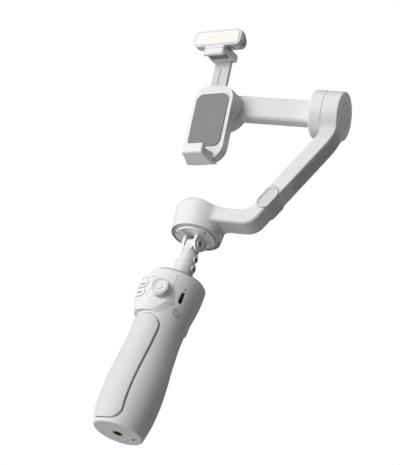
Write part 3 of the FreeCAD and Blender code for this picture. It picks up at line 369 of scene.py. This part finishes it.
def turned_metal(name, base, roughness=0.3):
    """Metal with fine turning marks."""
    material, graph = new_material(name)
    lines = graph.vector("MULTIPLY", graph.place(), (1 / TURNING_STRETCH, 1 / TURNING_STRETCH, 1.0))
    marks = graph.noise(0.15 * MM, vector=lines)
    graph.surface(base_color=graph.mix(marks, shade(base, 0.88), shade(base, 1.06)), metallic=1.0,
                  roughness=graph.vary(marks, roughness - 0.08, roughness + 0.1),
                  normal=graph.bump(marks, 0.004 * MM))
    return material


def circuit_board(name, base):
    """Board with a pattern of square tracks."""
    material, graph = new_material(name)
    cells = graph.node("ShaderNodeTexVoronoi", {"distance": "CHEBYCHEV", "feature": "F1"},
                       {"Vector": graph.place(), "Scale": 1 / (1.6 * MM)}).out("Distance")
    tracks = graph.ramp(cells, 0.42, 0.46)
    graph.surface(base_color=graph.mix(tracks, base, shade(base, 2.2)), roughness=0.35,
                  normal=graph.bump(tracks, 0.03 * MM))
    return material


def wound_copper(name, base):
    """Turns of lacquered wire."""
    material, graph = new_material(name)
    turns = graph.node("ShaderNodeTexWave", {"wave_type": "BANDS", "bands_direction": "Z"},
                       {"Vector": graph.place(), "Scale": 1 / (0.6 * MM), "Distortion": 0.6}).out("Fac")
    graph.surface(base_color=graph.mix(turns, shade(base, 0.5), base), metallic=0.7,
                  roughness=graph.ramp(turns, 0, 1, 0.45, 0.28), normal=graph.bump(turns, 0.08 * MM))
    return material


def wrapped_cell(name, base):
    """Shrunk plastic wrap with fine creases."""
    material, graph = new_material(name)
    crease = graph.noise(3 * MM, detail=4.0)
    graph.surface(base_color=graph.mix(crease, shade(base, 0.8), shade(base, 1.2)), roughness=0.35,
                  normal=graph.bump(crease, 0.05 * MM))
    return material


def lamp_diffuser(name):
    """Milky cover with a warm panel showing through."""
    looks = finishes()
    material, graph = new_material(name)
    middle, (long_axis, tall_axis, _) = own_axes("light_diffuser")
    panel = 1
    for axis, share in zip((long_axis, tall_axis), PANEL_SHARES):
        half = half_length("light_diffuser", middle, axis) * share
        outside = graph.ramp(abs(graph.along(middle, axis)), half - PANEL_SOFT, half + PANEL_SOFT)
        panel = (1 - outside) * panel
    frosting = graph.noise(0.3 * MM)
    milk = graph.mix(frosting, shade(looks.diffuser, 0.985), shade(looks.diffuser, 1.01))
    graph.surface(base_color=graph.mix(panel, milk, looks.panel), roughness=0.28,
                  coat_weight=0.4, coat_roughness=0.1, normal=graph.bump(frosting, 0.006 * MM))
    return material


def contact_shade_rings(graph, long_axis, tall_axis):
    """Mask of the painted shade rings round the two domed contacts, on the light's underside only."""
    middle, _ = own_axes("light_contacts")
    offset = long_axis * (half_length("light_contacts", middle, long_axis) - CONTACT_RADIUS)
    edge = CONTACT_RADIUS + CONTACT_SHADE_RING
    reach = [graph.radius(middle + offset * side, tall_axis) for side in (-1, 1)]
    rings = sum(1 - graph.ramp(distance, edge, edge + HAIR) for distance in reach)
    return rings * (1 - graph.ramp(graph.along(middle, tall_axis), *CONTACT_SIDE))


def light_plastic(name, base):
    """Shell of the fill light: painted shade rings round the contacts, a ribbed insert at one end and a
    painted highlight line beside the insert.
    """
    looks = finishes()
    material, graph = new_material(name)
    middle, (long_axis, tall_axis, thick_axis) = own_axes("light_diffuser")
    end = half_length("light_housing", middle, long_axis)
    at_end = graph.ramp(graph.along(middle, long_axis), *(end - depth for depth in INSERT_DEPTH))
    back = graph.along(middle, thick_axis if thick_axis.y > 0 else -thick_axis)
    insert = at_end * graph.band(back, *INSERT_BAND, HAIR)
    ribs = graph.ramp(abs((back / RIB_PITCH) % 1 - 0.5), 0.15, 0.35)
    # mask of the painted highlight line beside the insert
    seam = at_end * graph.band(back, *INSERT_SEAM_HIGHLIGHT, HAIR)
    grain, plain = grained(graph, base)
    tint = graph.mix(insert, plain, shade(base, 0.45))
    tint = graph.mix(insert * ribs * 0.5, tint, shade(base, 0.7))
    # painted highlight: the line beside the insert is lighter than the plastic
    tint = graph.mix(seam, tint, shade(base, 1.25))
    # painted shade: dark rings round the two contacts, where shade falls in their hollows
    tint = graph.mix(contact_shade_rings(graph, long_axis, tall_axis), tint, looks.dark)
    graph.surface(base_color=tint, roughness=graph.vary(grain, 0.40, 0.5),
                  normal=graph.bump(grain * 0.3 - insert * ribs, looks.grain_depth * 4))
    return material


def ringed_key(name, base):
    """Power key: plastic with two thin copper rings."""
    looks = finishes()
    material, graph = new_material(name)
    middle, _ = own_axes("power_button")
    reach = graph.radius(middle, joint("power_press")[1])
    rings = sum(graph.band(reach, low, high, HAIR) for low, high in POWER_RINGS)
    grain, plain = grained(graph, base)
    graph.surface(base_color=graph.mix(rings, plain, looks.copper), metallic=rings * 0.8,
                  roughness=graph.vary(grain, 0.42, 0.5), normal=graph.bump(grain, looks.grain_depth))
    return material


def barred_key(name, base):
    """Mode key: the floor of its groove is grey."""
    looks = finishes()
    material, graph = new_material(name)
    inwards = joint("mode_press")[1]
    middle = box_middle("mode_button")
    vertices = frame["nodes"]["mode_button"].data.vertices
    face = min((vertex.co - middle).dot(inwards) for vertex in vertices)
    groove = graph.band(graph.along(middle, inwards), *(face + depth for depth in GROOVE_DEPTH), HAIR)
    groove = groove * (1 - graph.ramp(abs(graph.along(middle, (0, 0, 1))), *GROOVE_HALF))
    grain, plain = grained(graph, base)
    graph.surface(base_color=graph.mix(groove, plain, looks.marks),
                  roughness=graph.vary(grain, 0.45, 0.55), normal=graph.bump(grain, looks.grain_depth))
    return material


def seamed_arm(name, base):
    """Arm plastic with a fine seam round the collar next to the knuckle."""
    looks = finishes()
    material, graph = new_material(name)
    fold, across = joint("arm_fold")
    upwards = joint("pan")[1]
    outwards = upwards.cross(across).normalized()
    arm = outwards * math.cos(ARM_RISE) + upwards * math.sin(ARM_RISE)
    seam = graph.band(graph.along(fold["pos_m"], arm), *COLLAR_SEAM, HAIR)
    grain, plain = grained(graph, base)
    graph.surface(base_color=graph.mix(seam, plain, shade(base, 0.55)),
                  roughness=graph.vary(grain, 0.45, 0.56),
                  normal=graph.bump(grain * 0.1 - seam, looks.grain_depth * 8))
    return material


# ---------------------------------------------------------------------- dressing of the CAD nodes
def dress(material, *names):
    for name in names:
        mesh = frame["nodes"][name].data
        mesh.materials.clear()
        mesh.materials.append(material)
        for face in mesh.polygons:
            face.material_index = 0


class GimbalOperator(bpy.types.Operator):
    """Common base of the operators."""

    bl_options = {"REGISTER", "UNDO"}


class GIMBAL_OT_handle(GimbalOperator):
    """Finish the handle: shells, grip pad, base and what is inside."""

    bl_idname = "gimbal.handle"
    bl_label = "Handle"

    def execute(self, context):
        looks = finishes()
        dress(moulded_plastic("shell_plastic", looks.shell), "front_shell", "rear_shell", "base_cap",
              "trigger", "record_button", "joystick")
        dress(barred_key("mode_key", looks.shell), "mode_button")
        dress(soft_grip("grip_silicone", looks.grip), "grip_pad")
        dress(moulded_plastic("inner_plastic", shade(looks.knuckle, 0.95), 0.55), "chassis", "joystick_cup",
              "joystick_cross")
        dress(moulded_plastic("cover_plastic", looks.cover, 0.45), "top_plate")
        dress(turned_metal("insert_brass", looks.brass), "tripod_insert")
        dress(wrapped_cell("cell_wrap", looks.cell), "battery_cells")
        dress(circuit_board("board_green", looks.board), "main_board", "led_board")
        dress(turned_metal("port_steel", looks.steel, 0.25), "usb_port")
        dress(gloss_white("status_lens", looks.marks), "status_lights")
        dress(moulded_plastic("record_red", looks.record, 0.35), "record_bar")
        dress(ringed_key("power_key", looks.shell), "power_button")
        return {"FINISHED"}


class GIMBAL_OT_rod(GimbalOperator):
    """Finish the telescopic rod and the fold hinge."""

    bl_idname = "gimbal.rod"
    bl_label = "Rod and hinge"

    def execute(self, context):
        looks = finishes()
        dress(gloss_white("rod_white", looks.white), "rod_tube_1", "rod_tube_2", "rod_tube_3", "rod_head",
              "pan_base")
        dress(turned_metal("screw_black", looks.dark), "rod_screw_1", "rod_screw_2")
        dress(turned_metal("pin_steel", looks.steel), "fold_pin", "arm_pin", "pan_shaft", "tilt_shaft",
              "roll_shaft", "pan_bearings", "tilt_bearings", "roll_bearings")
        return {"FINISHED"}


class GIMBAL_OT_arms(GimbalOperator):
    """Finish the arms, the motors and the bracket."""

    bl_idname = "gimbal.arms"
    bl_label = "Arms and motors"

    def execute(self, context):
        looks = finishes()
        dress(moulded_plastic("arm_plastic", looks.shell), "lower_arm", "tilt_housing", "roll_bracket",
              "roll_housing")
        dress(seamed_arm("arm_plastic_seamed", looks.shell), "upper_arm")
        dress(moulded_plastic("knuckle_plastic", looks.knuckle, 0.45), "knuckle", "knuckle_cap")
        dress(moulded_plastic("inlay_plastic", looks.inlay, 0.42), "arm_inlay")
        dress(turned_metal("ring_copper", looks.copper, 0.25), "pan_trim_ring")
        dress(turned_metal("plate_alloy", looks.alloy), "tilt_plate")
        dress(turned_metal("magnet_nickel", looks.nickel, 0.35), "pan_magnets", "tilt_magnets",
              "roll_magnets")
        dress(wound_copper("core_winding", looks.winding), "pan_stator", "tilt_stator", "roll_stator")
        return {"FINISHED"}


class GIMBAL_OT_clamp(GimbalOperator):
    """Finish the phone clamp."""

    bl_idname = "gimbal.clamp"
    bl_label = "Clamp"

    def execute(self, context):
        looks = finishes()
        dress(moulded_plastic("clamp_plastic", looks.shell), "clamp_body", "lower_jaw", "upper_jaw")
        dress(moulded_plastic("slider_plastic", looks.knuckle, 0.45), "jaw_slider")
        dress(soft_grip("pad_rubber", looks.rubber), "clamp_pads", "upper_pad")
        return {"FINISHED"}


class GIMBAL_OT_light(GimbalOperator):
    """Finish the fill light."""

    bl_idname = "gimbal.light"
    bl_label = "Fill light"

    def execute(self, context):
        looks = finishes()
        dress(light_plastic("light_plastic", shade(looks.shell, 0.85)), "light_housing")
        dress(lamp_diffuser("light_milk"), "light_diffuser")
        dress(turned_metal("contact_chrome", looks.chrome, 0.12), "light_contacts")
        return {"FINISHED"}


# ---------------------------------------------------------------------- stage
class GIMBAL_OT_stage(GimbalOperator):
    """Camera, soft lamps, pale floor and background."""

    bl_idname = "gimbal.stage"
    bl_label = "Stage"

    def execute(self, context):
        scene = context.scene
        stage = scene.gimbal_stage
        data = bpy.data.cameras.new("camera")
        data.lens = stage.camera_lens
        camera = bpy.data.objects.new("camera", data)
        camera.location = stage.camera_place
        camera.rotation_euler = Euler(stage.camera_turn)
        scene.collection.objects.link(camera)
        scene.camera = camera
        self.lamps(scene, stage, camera)
        self.floor(scene, stage)
        self.world(scene, stage)
        scene.view_settings.view_transform = "Standard"
        return {"FINISHED"}

    def lamps(self, scene, stage, camera):
        """Soft lamps round the gimbal: each direction is right, up and back as the camera sees it."""
        middle = sum((Vector(corner) for corner in cad_box), Vector()) / 2
        turn = camera.rotation_euler.to_matrix()
        for name, power, direction in (("key_lamp", stage.key_lamp, (-0.7, 0.7, 0.7)),
                                       ("side_lamp", stage.side_lamp, (-1, 0.1, -0.1)),
                                       ("top_lamp", stage.top_lamp, (0, 1, -0.05)),
                                       ("rim_lamp", stage.rim_lamp, (1, 0.2, -0.6)),
                                       ("back_lamp", stage.back_lamp, (0, 0.05, -1))):
            data = bpy.data.lights.new(name, "AREA")
            data.shape = "DISK"
            data.size = stage.lamp_size
            data.energy = power
            lamp = bpy.data.objects.new(name, data)
            lamp.location = middle + turn @ Vector(direction).normalized() * stage.lamp_reach
            lamp.rotation_euler = (middle - lamp.location).to_track_quat("-Z", "Y").to_euler()
            scene.collection.objects.link(lamp)

    def floor(self, scene, stage):
        mesh = bpy.data.meshes.new("floor")
        half, low = FLOOR_HALF, -stage.floor_drop
        corners = [(-half, -half, low), (half, -half, low), (half, half, low), (-half, half, low)]
        mesh.from_pydata(corners, [], [(0, 1, 2, 3)])
        floor = bpy.data.objects.new("floor", mesh)
        scene.collection.objects.link(floor)
        material, graph = new_material("floor_paper")
        paper = graph.node("ShaderNodeBsdfDiffuse", None, {"Color": (0.8, 0.8, 0.8, 1.0)})
        glow = graph.node("ShaderNodeEmission", None, {"Color": (1.0, 1.0, 1.0, 1.0)})
        shares = {0: graph.seen() * stage.floor_glow, 1: paper.out(0), 2: glow.out(0)}
        paint = graph.node("ShaderNodeMixShader", None, shares)
        graph.node("ShaderNodeOutputMaterial", None, {"Surface": paint.out(0)})
        mesh.materials.append(material)

    def world(self, scene, stage):
        world = bpy.data.worlds.new("studio")
        world.use_nodes = True
        scene.world = world
        graph = Graph(world.node_tree)
        strength = graph.seen() * (1 - stage.fill) + stage.fill
        back = graph.node("ShaderNodeBackground", None, {"Color": (1, 1, 1, 1), "Strength": strength})
        graph.node("ShaderNodeOutputWorld", None, {"Surface": back.out(0)})


class GIMBAL_PT_panel(bpy.types.Panel):
    """Sidebar panel with a button for each group."""

    bl_idname = "GIMBAL_PT_panel"
    bl_label = "Phone gimbal"
    bl_space_type = "VIEW_3D"
    bl_region_type = "UI"
    bl_category = "Gimbal"

    def draw(self, context):
        for operator in operators:
            self.layout.operator(operator.bl_idname)


operators = (GIMBAL_OT_handle, GIMBAL_OT_rod, GIMBAL_OT_arms, GIMBAL_OT_clamp, GIMBAL_OT_light,
             GIMBAL_OT_stage)
classes = (GimbalFinishes, GimbalStage, *operators, GIMBAL_PT_panel)


def register():
    for item in classes:
        bpy.utils.register_class(item)
    bpy.types.Scene.gimbal_finishes = PointerProperty(type=GimbalFinishes)
    bpy.types.Scene.gimbal_stage = PointerProperty(type=GimbalStage)


def unregister():
    del bpy.types.Scene.gimbal_finishes
    del bpy.types.Scene.gimbal_stage
    for item in reversed(classes):
        bpy.utils.unregister_class(item)


def run_operator(operator):
    """Call an operator and stop the script if it did not finish."""
    group, name = operator.bl_idname.split(".")
    if getattr(getattr(bpy.ops, group), name)() != {"FINISHED"}:
        raise RuntimeError(f"{operator.bl_idname} did not finish")


def main():
    register()
    for operator in operators:
        run_operator(operator)


if __name__ == "__main__":
    main()
